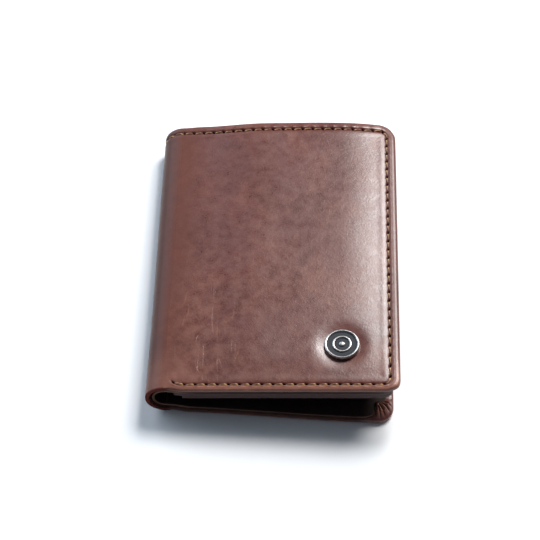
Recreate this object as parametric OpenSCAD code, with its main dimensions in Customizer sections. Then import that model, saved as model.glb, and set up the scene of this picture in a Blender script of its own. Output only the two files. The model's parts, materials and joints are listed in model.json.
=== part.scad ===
// Wallet that folds once round a soft spine, with a centre leaf that turns like a page.
// The back cover lies on the XY plane, the spine is on the -X side and the wallet's length
// runs along Y. Sizes are in millimetres and the model is drawn closed.
// Both covers share one panel frame: s runs from the spine to the free edge, y along the
// wallet, and d is the depth from the cover's outer face towards the pockets.

/* [Closed wallet] */
// Width of the closed wallet, from the spine to the free edge
closed_w = 86; // [80:1:95]
// Length of the covers along the spine
cover_l = 118; // [110:1:124]
// Outer radius of the spine's bend, which is half the thickness at the spine
spine_r = 6.9; // [6.9:0.1:8]
// Angle by which the full pockets hold the front cover open
closed_tilt = 3.2; // [3.2:0.1:5]
// Distance by which the back cover stops short of the front cover's free edge
back_short = 1.2; // [0:0.1:2]
// Radius of the covers' free corners
corner_r = 5.5; // [3:0.5:8]
// Number of places at which the spine bends
spine_folds = 6; // [6:1:6]

/* [Cover leather] */
// Thickness of the outer leather
shell_t = 1.4; // [1.2:0.1:1.4]
// Thickness of the leather turned over at the edges
turned_t = 0.9; // [0.7:0.1:0.9]
// Width of the leather turned over at the edges
turned_w = 6.5; // [5.5:0.5:8]
// Thickness of the reinforcing sheet in each cover
stiffener_t = 0.3; // [0.2:0.1:0.3]
// Thickness of the fabric lining of the note compartment
lining_t = 0.25; // [0.15:0.05:0.25]

/* [Card pockets] */
// Thickness of the inner leather that carries the pockets and runs through the spine
liner_t = 0.9; // [0.7:0.1:0.9]
// Thickness of one card pocket's leather
sheet_t = 0.5; // [0.4:0.1:0.5]
// Height left for a card in each pocket
card_gap = 0.9; // [0.8:0.1:0.9]
// Width of the seam strip that closes a pocket's edge
welt_w = 4.6; // [4:0.2:5.2]
// Distance from the spine to the first pocket's mouth
mouth_1 = 3.2; // [3.2:0.2:5]
// Distance from the spine to the second pocket's mouth
mouth_2 = 12; // [12:0.5:20]
// Length of the open mouth of the note compartment beyond the pockets
note_lip = 12; // [8:1:16]
// Distance from the front cover's free edge to its pockets
front_side_in = 2.4; // [1:0.2:4]
// Distance from the back cover's edges to its pockets, which leaves its turned edge bare
back_pocket_in = 7; // [7:0.5:9]
// Distance from the back cover's free edge to its liner
back_liner_in = 2.5; // [1:0.5:3]
// Distance from the spine to where the upper front pocket's mouth meets the near end
front_mouth_end = 5.6; // [5:0.2:8]

/* [Centre leaf] */
// Thickness of the leaf's backing and of its window frame
leaf_sheet_t = 0.4; // [0.3:0.1:0.4]
// Height left for a card in the leaf
leaf_gap = 0.85; // [0.8:0.05:0.85]
// Width of the leaf
leaf_w = 64; // [58:1:66]
// Thickness of the clear window film
film_t = 0.15; // [0.1:0.05:0.15]
// Distance from the covers' near end to the leaf
leaf_in = 9; // [7:1:11]
// Distance from the leaf's hinge line to the leaf
leaf_hinge_gap = 2; // [1.5:0.5:2]

/* [Stitching] */
// Distance from one stitch to the next
stitch_pitch = 3.65; // [3:0.05:4.5]
// Length of one stitch
stitch_l = 2.8; // [2:0.1:3]
// Width of one stitch
stitch_w = 0.8; // [0.5:0.1:1]
// Height of one stitch above the leather
stitch_h = 0.3; // [0.2:0.1:0.4]
// Distance from the edge to the seam
seam_in = 3.4; // [3.2:0.1:4]
// Distance from the front cover's near end to the seam
near_seam_in = 3.2; // [2:0.1:4]

/* [Badge] */
// Radius of the round metal badge
badge_r = 6; // [5:0.5:7]
// Height of the badge above the leather
badge_h = 1.8; // [1.5:0.1:2.2]
// Distance from the free edge to the badge's centre
badge_side = 19.6; // [16:0.2:22]
// Distance from the near end to the badge's centre
badge_end = 17; // [16:0.2:22]

/* [Hidden] */
$fn = 64;
eps = 0.01;
half_l = cover_l / 2;
spine_x = spine_r - closed_w / 2;
fold_turn = 180 - closed_tilt;
fold_step = fold_turn / spine_folds;
strip_gap = 0.1;
strip_half = fold_step / 2 - strip_gap / spine_r * 180 / PI;
front_x = spine_x - spine_r * sin(closed_tilt);
front_z = spine_r + spine_r * cos(closed_tilt);
back_len = closed_w / 2 - back_short - spine_x;
front_len = (closed_w / 2 - front_x) / cos(closed_tilt);
// Depths of the layers below a cover's outer face
liner_d = shell_t + turned_t;
pocket_d = liner_d + liner_t;
layer = card_gap + sheet_t;
sheet_1_d = pocket_d + card_gap;
sheet_2_d = sheet_1_d + layer;
stack_d = pocket_d + 2 * layer;
// The liner and the front pockets end almost flush with the near end, and short of the far one
end_inset = 0.6;
block_top = half_l - note_lip;
front_block_r = 4.5;
back_pocket_r = 3;
// The back pockets' seam runs close to their edges, clear of the centre leaf
back_row_in = back_pocket_in + 1;
// The back liner's corner is cut back round the pleats of the turned leather
back_liner_r = 9;
edge_play = 0.3;
row_play = 1;
// The leaf lies on the back cover's pockets, its mid-plane level with its hinge line
leaf_z = stack_d + 0.2;
leaf_t = 2 * leaf_sheet_t + leaf_gap + film_t;
hinge_x = spine_x + 3.1;
hinge_z = leaf_z + leaf_t / 2;
leaf_x = hinge_x + leaf_hinge_gap;
leaf_y = -half_l + leaf_in;
leaf_l = block_top - 4 - leaf_y;
leaf_r = 4;
hinge_strip_t = 0.5;
window_margin = 9;
window_r = 3;
film_lap = 3;
anchor_x = hinge_x + 0.5;
anchor_w = spine_x + mouth_2 - 0.4 - anchor_x;
// Badge details
cup_floor = 0.8;
cup_wall = 0.9;
cup_round = 0.35;
enamel_t = 0.55;
emblem_t = 0.4;
ring_r = 3.3;
ring_w = 0.7;
dot_r = 1;
post_r = 1.2;
washer_r = 4;
fit_play = 0.05;

// ---------- panel frames ----------
module back_frame() {
    translate([spine_x, 0, 0]) children();
}

module front_frame() {
    translate([front_x, 0, front_z]) rotate([0, -closed_tilt, 0]) mirror([0, 0, 1]) children();
}

// A flat layer: its outline lies in s and y, and it fills the depths from d to d + t
module layer_at(d, t) {
    translate([0, 0, d]) linear_extrude(t) children();
}

// ---------- outlines ----------
// A sheet from s0 to s1 and y0 to y1 whose two corners at the free edge are rounded
module sheet_outline(s0, s1, y0, y1, r) {
    translate([s0, y0]) square([s1 - s0 - r, y1 - y0]);
    translate([s0, y0 + r]) square([s1 - s0, y1 - y0 - 2 * r]);
    translate([s1 - r, y0 + r]) circle(r);
    translate([s1 - r, y1 - r]) circle(r);
}

// A pocket sheet up to s1, rounded at its near free corner and square at its far one
module pocket_outline(s0, s1, y0, r) {
    translate([s0, y0]) square([s1 - s0 - r, block_top - y0]);
    translate([s0, y0 + r]) square([s1 - s0, block_top - y0 - r]);
    translate([s1 - r, y0 + r]) circle(r);
}

module front_outline(s0) {
    pocket_outline(s0, front_len - front_side_in, -half_l + end_inset, front_block_r);
}

module back_outline(s0) {
    pocket_outline(s0, back_len - back_pocket_in, -half_l + back_pocket_in, back_pocket_r);
}

// A band of the spine's bend in the s-d plane, centred on the bend's middle
module bend_band(r, t, from, to) {
    reach = 2 * r;
    intersection() {
        difference() {
            circle(r);
            circle(r - t);
        }
        polygon([
            [0, 0],
            [reach * cos(from), reach * sin(from)],
            [reach * cos((from + to) / 2), reach * sin((from + to) / 2)],
            [reach * cos(to), reach * sin(to)]
        ]);
    }
}

// Extrudes an s-d outline along the wallet, from y0 to y1
module along_y(y0, y1) {
    translate([0, y1, 0]) rotate([90, 0, 0]) linear_extrude(y1 - y0) children();
}

// ---------- cover layers, in the panel frame ----------
// A layer's half strip of bend, which leads from the flat panel into the spine
module bend_start(r, t, y0, y1) {
    along_y(y0, y1)
        translate([0, spine_r]) bend_band(r, t, 270 - strip_half, 270 + 0.5);
}

module outer_leather(len, hole_s, hole_y, hole_r) {
    difference() {
        union() {
            layer_at(0, shell_t) sheet_outline(0, len, -half_l, half_l, corner_r);
            bend_start(spine_r, shell_t, -half_l, half_l);
        }
        if (hole_r > 0) translate([hole_s, hole_y, -eps]) cylinder(r = hole_r, h = shell_t + 2 * eps);
    }
}

module turned_edge(len) {
    layer_at(shell_t, turned_t) difference() {
        sheet_outline(mouth_1, len, -half_l, half_l, corner_r);
        translate([mouth_1 - eps, -half_l + turned_w])
            square([len - turned_w - mouth_1 + eps, cover_l - 2 * turned_w]);
    }
}

// A rectangle that fits inside the turned edge
module inside_edge(len) {
    in = turned_w + edge_play;
    translate([mouth_1, -half_l + in]) square([len - in - mouth_1, cover_l - 2 * in]);
}

// The liner's stretch beside the spine, which reaches the wallet's near end
module liner_start() {
    y0 = -half_l + end_inset;
    layer_at(liner_d, liner_t) translate([0, y0]) square([mouth_1, block_top - y0]);
    bend_start(spine_r - liner_d, liner_t, y0, block_top);
}

// Cuts out the room for a card, so that strips are left along a pocket's three closed edges
module card_room(s0, s1, y0, d) {
    translate([s0 - eps, y0 + welt_w, d - eps])
        cube([s1 - welt_w - s0 + eps, block_top - y0 - 2 * welt_w, card_gap + 2 * eps]);
}

// ---------- stitching, in the panel frame ----------
// One slanted stitch that stands on a face at depth d, on the side given by up
module stitch(s, y, d, along, up) {
    slant = 8;
    low = up < 0 ? d - stitch_h : d;
    translate([s, y, low]) rotate([0, 0, along + slant])
        translate([-stitch_l / 2, -stitch_w / 2, 0]) cube([stitch_l, stitch_w, stitch_h]);
}

// A row of stitches from one point to another, spaced as near to the pitch as fits
module stitch_row(s0, y0, s1, y1, d, up) {
    run = norm([s1 - s0, y1 - y0]);
    count = round(run / stitch_pitch);
    if (count > 0) for (i = [0.5 : count])
        stitch(s0 + (s1 - s0) * i / count, y0 + (y1 - y0) * i / count, d, atan2(y1 - y0, s1 - s0), up);
}

// The rows that close the pockets, on the sheets' inner faces; the near row steps up at s = step
module pocket_stitching(side, near, step) {
    far = block_top - 2;
    low = sheet_1_d + sheet_t;
    stitch_row(mouth_1 + row_play, near, step - row_play, near, low, 1);
    stitch_row(mouth_1 + row_play, far, mouth_2 - row_play, far, low, 1);
    stitch_row(step + row_play, near, side, near, stack_d, 1);
    stitch_row(mouth_2 + row_play, far, side, far, stack_d, 1);
    stitch_row(side, near + row_play, side, far - row_play, stack_d, 1);
}

// ---------- back cover ----------
module back_outer_leather() {
    color("sienna") back_frame() outer_leather(back_len, 0, 0, 0);
}

module back_turned_edge() {
    color("saddlebrown") back_frame() turned_edge(back_len);
}

module back_stiffener() {
    color("tan") back_frame() layer_at(shell_t, stiffener_t) inside_edge(back_len);
}

module back_lining() {
    color("dimgray") back_frame() layer_at(shell_t + stiffener_t, lining_t) inside_edge(back_len);
}

module back_pocket_liner() {
    color("saddlebrown") back_frame() {
        liner_start();
        layer_at(liner_d, liner_t) pocket_outline(
            mouth_1, back_len - back_liner_in, -half_l + end_inset, back_liner_r);
    }
}

module back_card_pocket_1() {
    color("sienna") back_frame() layer_at(sheet_1_d, sheet_t) back_outline(mouth_1);
}

module back_card_pocket_2() {
    color("sienna") back_frame() layer_at(sheet_2_d, sheet_t) back_outline(mouth_2);
}

module back_pocket_welts() {
    s1 = back_len - back_pocket_in;
    y0 = -half_l + back_pocket_in;
    color("peru") back_frame() difference() {
        union() {
            layer_at(pocket_d, card_gap) back_outline(mouth_1);
            layer_at(sheet_1_d + sheet_t, card_gap) back_outline(mouth_2);
        }
        card_room(mouth_1, s1, y0, pocket_d);
        card_room(mouth_2, s1, y0, sheet_1_d + sheet_t);
    }
}

// The seam beside the liner's free edge, and the hem along the note compartment's mouth
module back_edge_stitching() {
    side = back_len - seam_in;
    end = half_l - seam_in;
    cut = end_inset + back_liner_r;
    color("goldenrod") back_frame() {
        stitch_row(side, -half_l + cut, side, block_top, pocket_d, 1);
        stitch_row(mouth_1 + row_play, end, side, end, liner_d, 1);
        stitch_row(side, block_top + row_play, side, end - row_play, liner_d, 1);
    }
}

module back_pocket_stitching() {
    color("goldenrod") back_frame()
        pocket_stitching(back_len - back_row_in, -half_l + back_row_in, mouth_2);
}

// The strip that holds the leaf to the back cover, beside the second pocket's mouth
module leaf_anchor_tab() {
    color("saddlebrown") translate([anchor_x, leaf_y, sheet_1_d + sheet_t])
        cube([anchor_w, leaf_l, hinge_strip_t]);
}

// ---------- spine ----------
// One strip of a leather that bends round the spine between two fold lines
module spine_strip(i, r, t, y0, y1) {
    middle = 270 - fold_step * i;
    along_y(y0, y1)
        translate([spine_x, spine_r]) bend_band(r, t, middle - strip_half, middle + strip_half);
}

module spine_leather(i) {
    color("sienna") spine_strip(i, spine_r, shell_t, -half_l, half_l);
}

module spine_liner(i) {
    color("peru") spine_strip(i, spine_r - liner_d, liner_t, -half_l + end_inset, block_top);
}

// ---------- front cover ----------
badge_s = front_len - badge_side;
badge_y = -half_l + badge_end;

module front_outer_leather() {
    color("sienna") front_frame() outer_leather(front_len, badge_s, badge_y, post_r + fit_play);
}

module front_turned_edge() {
    color("saddlebrown") front_frame() turned_edge(front_len);
}

// The sheet has a hole that the badge's washer sits in
module front_stiffener() {
    color("tan") front_frame() layer_at(shell_t, stiffener_t) difference() {
        inside_edge(front_len);
        translate([badge_s, badge_y]) circle(washer_r + fit_play);
    }
}

module front_lining() {
    color("dimgray") front_frame() layer_at(shell_t + stiffener_t, lining_t) inside_edge(front_len);
}

module front_pocket_liner() {
    color("saddlebrown") front_frame() {
        liner_start();
        layer_at(liner_d, liner_t) front_outline(mouth_1);
    }
}

module front_card_pocket_1() {
    color("sienna") front_frame() layer_at(sheet_1_d, sheet_t) front_outline(mouth_1);
}

module front_card_pocket_2() {
    color("sienna") front_frame() layer_at(sheet_2_d, sheet_t) {
        front_outline(mouth_2);
        front_mouth_tab();
    }
}

// The upper front pocket's mouth steps towards the spine at the near end, where it is sewn down
module front_mouth_tab() {
    translate([front_mouth_end, -half_l + end_inset]) square([mouth_2 - front_mouth_end + eps, welt_w]);
}

module front_pocket_welts() {
    s1 = front_len - front_side_in;
    y0 = -half_l + end_inset;
    color("peru") front_frame() difference() {
        union() {
            layer_at(pocket_d, card_gap) front_outline(mouth_1);
            layer_at(sheet_1_d + sheet_t, card_gap) {
                front_outline(mouth_2);
                front_mouth_tab();
            }
        }
        card_room(mouth_1, s1, y0, pocket_d);
        card_room(mouth_2, s1, y0, sheet_1_d + sheet_t);
    }
}

module front_edge_stitching() {
    side = front_len - seam_in;
    end = half_l - seam_in;
    near = -half_l + near_seam_in;
    color("goldenrod") front_frame() {
        stitch_row(mouth_1 / 2, near, side, near, 0, -1);
        stitch_row(side, near + row_play, side, end - row_play, 0, -1);
        stitch_row(0, end, side, end, 0, -1);
    }
}

module front_pocket_stitching() {
    color("goldenrod") front_frame()
        pocket_stitching(front_len - seam_in, -half_l + near_seam_in, front_mouth_end);
}

// ---------- badge, standing on the front cover's outer face ----------
module badge_frame() {
    translate([front_x, 0, front_z]) rotate([0, -closed_tilt, 0]) translate([badge_s, badge_y, 0])
        children();
}

module badge_cup() {
    color("silver") badge_frame() rotate_extrude() difference() {
        union() {
            square([badge_r, badge_h - cup_round]);
            square([badge_r - cup_round, badge_h]);
            translate([badge_r - cup_round, badge_h - cup_round]) circle(cup_round, $fn = 32);
        }
        translate([-eps, cup_floor]) square([badge_r - cup_wall + eps, badge_h]);
    }
}

module badge_enamel() {
    color("darkslategray") badge_frame() translate([0, 0, cup_floor])
        cylinder(r = badge_r - cup_wall - fit_play, h = enamel_t);
}

// A plain ring with a dot at its centre
module badge_emblem() {
    color("silver") badge_frame() translate([0, 0, cup_floor + enamel_t]) {
        difference() {
            cylinder(r = ring_r, h = emblem_t);
            translate([0, 0, -eps]) cylinder(r = ring_r - ring_w, h = emblem_t + 2 * eps);
        }
        cylinder(r = dot_r, h = emblem_t);
    }
}

module badge_post() {
    tail = shell_t + stiffener_t;
    color("silver") badge_frame() translate([0, 0, -tail]) cylinder(r = post_r, h = tail);
}

module badge_washer() {
    color("silver") badge_frame() translate([0, 0, -shell_t - stiffener_t]) difference() {
        cylinder(r = washer_r, h = stiffener_t);
        translate([0, 0, -eps]) cylinder(r = post_r + fit_play, h = stiffener_t + 2 * eps);
    }
}

// ---------- centre leaf ----------
// Places a layer of the leaf at a height above the leaf's lower face
module leaf_layer(z, t) {
    translate([leaf_x, leaf_y, leaf_z + z]) linear_extrude(t) children();
}

module leaf_backing() {
    color("sienna") leaf_layer(0, leaf_sheet_t) sheet_outline(0, leaf_w, 0, leaf_l, leaf_r);
}

// Strips along the near and free edges hold the two sheets a card's thickness apart
module leaf_welts() {
    color("peru") leaf_layer(leaf_sheet_t, leaf_gap) {
        translate([welt_w + edge_play, 0]) square([leaf_w - leaf_r - welt_w - edge_play, welt_w]);
        translate([leaf_w - welt_w, leaf_r]) square([welt_w, leaf_l - 2 * leaf_r]);
        translate([leaf_w - leaf_r, leaf_r]) circle(leaf_r);
    }
}

module leaf_window_film() {
    in = window_margin - film_lap;
    color("lightcyan", 0.4) leaf_layer(leaf_sheet_t + leaf_gap, film_t)
        translate([in, in]) square([leaf_w - 2 * in, leaf_l - 2 * in]);
}

module leaf_window_frame() {
    open_w = leaf_w - 2 * window_margin;
    open_l = leaf_l - 2 * window_margin;
    color("sienna") leaf_layer(leaf_sheet_t + leaf_gap + film_t, leaf_sheet_t) difference() {
        sheet_outline(0, leaf_w, 0, leaf_l, leaf_r);
        translate([window_margin, window_margin]) union() {
            translate([window_r, 0]) square([open_w - 2 * window_r, open_l]);
            translate([0, window_r]) square([open_w, open_l - 2 * window_r]);
            for (cx = [window_r, open_w - window_r], cy = [window_r, open_l - window_r])
                translate([cx, cy]) circle(window_r);
        }
    }
}

// The soft strip that the leaf turns on: it is sewn between the leaf's two sheets
module leaf_hinge_strip() {
    inset = 0.4;
    color("saddlebrown") translate([hinge_x + inset, leaf_y, hinge_z - hinge_strip_t / 2])
        cube([leaf_hinge_gap - inset + welt_w, leaf_l, hinge_strip_t]);
}

module leaf_stitching() {
    top = leaf_z + leaf_t;
    seam = leaf_r / 2;
    color("goldenrod") translate([leaf_x, leaf_y, 0]) {
        stitch_row(seam, seam, leaf_w - seam, seam, top, 1);
        stitch_row(leaf_w - seam, seam + row_play, leaf_w - seam, leaf_l - seam, top, 1);
        stitch_row(seam, seam + row_play, seam, leaf_l - seam, top, 1);
    }
}

back_outer_leather();
back_turned_edge();
back_stiffener();
back_lining();
back_pocket_liner();
back_card_pocket_1();
back_card_pocket_2();
back_pocket_welts();
back_edge_stitching();
back_pocket_stitching();
leaf_anchor_tab();
spine_leather(1);  // spine_leather_1
spine_leather(2);  // spine_leather_2
spine_leather(3);  // spine_leather_3
spine_leather(4);  // spine_leather_4
spine_leather(5);  // spine_leather_5
spine_liner(1);  // spine_liner_1
spine_liner(2);  // spine_liner_2
spine_liner(3);  // spine_liner_3
spine_liner(4);  // spine_liner_4
spine_liner(5);  // spine_liner_5
front_outer_leather();
front_turned_edge();
front_stiffener();
front_lining();
front_pocket_liner();
front_card_pocket_1();
front_card_pocket_2();
front_pocket_welts();
front_edge_stitching();
front_pocket_stitching();
badge_cup();
badge_enamel();
badge_emblem();
badge_post();
badge_washer();
leaf_backing();
leaf_welts();
leaf_window_film();
leaf_window_frame();
leaf_hinge_strip();
leaf_stitching();
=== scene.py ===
import json
import math
import bpy
import bmesh
import numpy as np
from mathutils import Matrix, Vector
from mathutils.geometry import tessellate_polygon


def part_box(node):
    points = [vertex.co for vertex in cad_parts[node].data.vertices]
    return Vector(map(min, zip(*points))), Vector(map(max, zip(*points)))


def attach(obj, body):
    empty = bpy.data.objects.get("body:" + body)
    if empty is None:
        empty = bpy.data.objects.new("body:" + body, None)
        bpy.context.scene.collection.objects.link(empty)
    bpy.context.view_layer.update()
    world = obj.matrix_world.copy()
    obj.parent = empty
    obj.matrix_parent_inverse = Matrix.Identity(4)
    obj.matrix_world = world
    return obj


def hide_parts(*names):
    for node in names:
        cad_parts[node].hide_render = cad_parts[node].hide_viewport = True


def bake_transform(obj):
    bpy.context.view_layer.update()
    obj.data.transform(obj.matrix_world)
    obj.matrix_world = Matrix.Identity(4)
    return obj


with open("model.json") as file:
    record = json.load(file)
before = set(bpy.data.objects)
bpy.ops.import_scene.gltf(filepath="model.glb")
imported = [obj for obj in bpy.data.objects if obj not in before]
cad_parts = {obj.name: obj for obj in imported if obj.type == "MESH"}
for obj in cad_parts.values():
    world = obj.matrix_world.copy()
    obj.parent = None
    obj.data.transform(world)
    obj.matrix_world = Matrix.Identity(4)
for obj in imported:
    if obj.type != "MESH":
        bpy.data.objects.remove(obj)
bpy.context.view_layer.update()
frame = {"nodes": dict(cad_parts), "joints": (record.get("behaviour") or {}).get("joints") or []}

# ---------------------------------------------------------------- frame, in millimetres
MM = 1000.0
FOLDS = 6
SEAM = 3.4          # from the edge to the seam
NEAR_SEAM = 3.2     # the same at the front cover's near end
PITCH = 3.65
FRONT_PITCH = 3.72
LINER_T = 0.9       # thickness of the inner leather


def box(node):
    lo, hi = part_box(node)
    return np.array(lo) * MM, np.array(hi) * MM


# The fold axes lie on one circle, round the spine's centre (CX, R)
joints = {j["name"]: j for j in frame["joints"]}
fold_axes = [joints[f"spine_fold_{k}"]["pos_m"] for k in range(1, FOLDS + 1)]
axis_xz = np.array([[p[0] * MM, p[2] * MM] for p in fold_axes])
circle = np.linalg.lstsq(np.c_[2 * axis_xz, np.ones(FOLDS)], (axis_xz ** 2).sum(1), rcond=None)[0]
CX, R = float(circle[0]), float(circle[1])
first_axis = math.atan2(axis_xz[0][1] - R, axis_xz[0][0] - CX) % (2 * math.pi)
ALPHA = 2 * (1.5 * math.pi - first_axis)
TILT = math.pi - FOLDS * ALPHA
Q_SPINE = R * FOLDS * ALPHA
SPINE_END = 1.5 * math.pi - FOLDS * ALPHA
# The front cover starts at (EX, EZ), runs along (UX, UZ) and has its depth along (NX, NZ)
EX, EZ = CX - R * math.sin(TILT), R + R * math.cos(TILT)
UX, UZ = math.cos(TILT), math.sin(TILT)
NX, NZ = math.sin(TILT), -math.cos(TILT)
back_hi = box("back_outer_leather")[1]
HALF = float(back_hi[1])
BACK_L = float(back_hi[0]) - CX
FRONT_L = (float(box("front_outer_leather")[1][0]) - EX) / UX
# Depths of the layers below a cover's outer face
SHELL = float(box("back_stiffener")[0][2])
TURN = float(box("back_turned_edge")[1][2])
STIFF = float(box("back_stiffener")[1][2])
LINE = float(box("back_lining")[1][2])
LINER_D = float(box("back_pocket_liner")[0][2])
POCKET_D = LINER_D + LINER_T
P1_LO, P1_HI = box("back_card_pocket_1")
P2_LO, P2_HI = box("back_card_pocket_2")
S1_D, S1_T = float(P1_LO[2]), float(P1_HI[2] - P1_LO[2])
S2_D, S2_T = float(P2_LO[2]), float(P2_HI[2] - P2_LO[2])
# The pockets' mouths, and their far end
MOUTH_1, MOUTH_2 = float(P1_LO[0]) - CX, float(P2_LO[0]) - CX
MOUTH_END = (float(box("front_card_pocket_2")[0][0]) - EX) / UX
TOP_Y = float(P1_HI[1])

# How far the real leather leaves the straight CAD sheets
CROWN, FAR_CROWN, DROOP = 1.25, 0.15, 0.5
FAR_BOW, FAR_RIM = 0.62, 0.4
NEAR_BOW, NEAR_CURL = 1.6, 0.95
BACK_BOW, BACK_SPREAD = 0.8, 2.1
SPINE_FULL = 0.8


def smooth(t):
    t = np.clip(t, 0.0, 1.0)
    return t * t * (3 - 2 * t)


def front_lift(s, y):
    """How far the front cover stands off its flat, outwards: it is crowned, and its far free corner droops."""
    t = np.clip(s / FRONT_L, 0, 1)
    along = smooth(t / 0.4) * (1 - 1.3 * np.clip((t - 0.74) / 0.26, 0, 1) ** 2)
    rise = 0.58 * smooth((y + HALF) / 15) + 0.42 * smooth((y + HALF - 2) / 40)
    crown = CROWN * along * rise
    far = FAR_CROWN * smooth((s - 12) / 24) * smooth((y - 8) / 48)
    far = far * (0.3 + 0.7 * smooth((s - 36) / 14)) * (1 - smooth((s - 50) / 26))
    droop = DROOP * np.exp(-(((FRONT_L - s) / 7) ** 2 + ((HALF - y) / 8) ** 2))
    return crown + far - droop


def front_map(s, y, d):
    d = d - front_lift(s, y)
    rim = FAR_RIM * smooth(s / 6) * smooth((y - HALF + 3.6) / 2.6)
    curl = NEAR_CURL * smooth((s - 0.8) / 5) * smooth((-y - HALF + 3.4) / 3.2)
    y = y + FAR_BOW * smooth((s - 8) / 22) * (1 - smooth((s - 46) / 30)) * smooth((y - 30) / 29) + rim
    y = y - NEAR_BOW * smooth((s - 0.8) / 5) * smooth((-y - 40) / 16) + curl
    return np.c_[EX + s * UX + d * NX, y, EZ + s * UZ + d * NZ]


def back_map(s, y, d):
    bow = BACK_BOW * smooth((s - 1.5) / 7) + BACK_SPREAD * smooth((s - 4) / 66)
    return np.c_[CX + s, y - bow * smooth((-y - 34) / 25), d + 0 * s]


def leaf_map(x, y, z):
    return np.c_[x, y, z + 0 * x]


def spine_map(angle, y, d):
    """Round the spine, which is a little fuller at its far end."""
    full = SPINE_FULL * smooth((y + 40) / 90) * np.maximum(0, -np.cos(angle)) ** 1.5
    return np.c_[CX + (R - d) * np.cos(angle) - full, y + 0 * full, R + (R - d) * np.sin(angle)]


# ---------------------------------------------------------------- making pieces


def make(name, co, faces, body=None, flat=None, mat=None, attrs=None, stands=(), sharp=38):
    """A closed mesh from millimetre coordinates, with its flat coordinates and masks kept as attributes."""
    me = bpy.data.meshes.new(name)
    me.from_pydata((np.asarray(co, float) / MM).tolist(), [], faces)
    me.validate(clean_customdata=False)
    if len(me.vertices) == len(co):
        a = me.attributes.new("flat", "FLOAT_VECTOR", "POINT")
        src = np.asarray(co if flat is None else flat, np.float32)
        a.data.foreach_set("vector", src.ravel())
        for key, val in (attrs or {}).items():
            b = me.attributes.new(key, "FLOAT", "POINT")
            b.data.foreach_set("value", np.asarray(val, np.float32).ravel())
    bm = bmesh.new()
    bm.from_mesh(me)
    bmesh.ops.recalc_face_normals(bm, faces=bm.faces)
    bm.to_mesh(me)
    bm.free()
    me.polygons.foreach_set("use_smooth", [True] * len(me.polygons))
    me.set_sharp_from_angle(angle=math.radians(sharp))
    o = bpy.data.objects.new(name, me)
    bpy.context.scene.collection.objects.link(o)
    if mat is not None:
        me.materials.append(mat)
    if body:
        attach(o, body)
    if stands:
        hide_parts(*stands)
    return o


def tube_faces(rings, around):
    """Quads between rings of points, and a cap at each end."""
    faces = []
    for i in range(rings - 1):
        for k in range(around):
            a, b = i * around + k, i * around + (k + 1) % around
            faces.append((a, b, b + around, a + around))
    last = (rings - 1) * around
    return faces + [tuple(range(around))[::-1], tuple(last + k for k in range(around))]


def joined(parts):
    """Stacks (co, faces, flat, attrs) parts into one."""
    co, faces, flat, attrs, base = [], [], [], {}, 0
    keys = sorted({k for p in parts for k in p[3]})
    for c, f, fl, at in parts:
        co.append(c)
        flat.append(fl)
        faces += [tuple(i + base for i in g) for g in f]
        for k in keys:
            attrs.setdefault(k, []).append(np.asarray(at.get(k, np.zeros(len(c))), float))
        base += len(c)
    return np.vstack(co), faces, np.vstack(flat), {k: np.concatenate(v) for k, v in attrs.items()}


def perimeter(nx, ny, nc):
    """The points round a panel, in order: (side, share, grid column, grid row)."""
    out = [("b", i / nx, i, 0) for i in range(nx + 1)]
    out += [("c1", k / nc[1], nx, 0) for k in range(1, nc[1])]
    out += [("r", j / ny, nx, j) for j in range(0 if nc[1] else 1, ny + 1)]
    out += [("c2", k / nc[2], nx, ny) for k in range(1, nc[2])]
    out += [("t", i / nx, nx - i, ny) for i in range(0 if nc[2] else 1, nx + 1)]
    out += [("c3", k / nc[3], 0, ny) for k in range(1, nc[3])]
    out += [("l", j / ny, 0, ny - j) for j in range(0 if nc[3] else 1, ny + 1)]
    out += [("c0", k / nc[0], 0, 0) for k in range(1, nc[0])]
    if nc[0] == 0:
        out.pop()
    return out


def ring_xy(per, box4, radii, e, el, c):
    """One ring of the panel's edge, e inside its outline (el at the left); corners get sharper inwards."""
    s0, s1, y0, y1 = box4
    k = max(0.0, 1 - min(e, c) / c)
    r0, r1, r2, r3 = [r * k for r in radii]
    xl, xr, yb, yt = s0 + el, s1 - e, y0 + e, y1 - e
    runs = {"b": (xl + r0, yb, xr - r1, yb), "r": (xr, yb + r1, xr, yt - r2),
            "t": (xr - r2, yt, xl + r3, yt), "l": (xl, yt - r3, xl, yb + r0)}
    turns = {"c1": (xr - r1, yb + r1, r1, -1), "c2": (xr - r2, yt - r2, r2, 0),
             "c3": (xl + r3, yt - r3, r3, 1), "c0": (xl + r0, yb + r0, r0, 2)}
    pts = []
    for side, t, _, _ in per:
        if side in runs:
            xa, ya, xb, yc = runs[side]
            pts.append((xa + (xb - xa) * t, ya + (yc - ya) * t))
        else:
            cx, cy, r, first = turns[side]
            a = math.pi / 2 * (first + t)
            pts.append((cx + r * math.cos(a), cy + r * math.sin(a)))
    return np.array(pts)


def band(a, b):
    """Faces between two closed rows of points, without the corners that fall together."""
    faces = []
    for i in range(len(a)):
        j = (i + 1) % len(a)
        f = list(dict.fromkeys((a[i], a[j], b[j], b[i])))
        if len(f) > 2:
            faces.append(tuple(f))
    return faces


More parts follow.
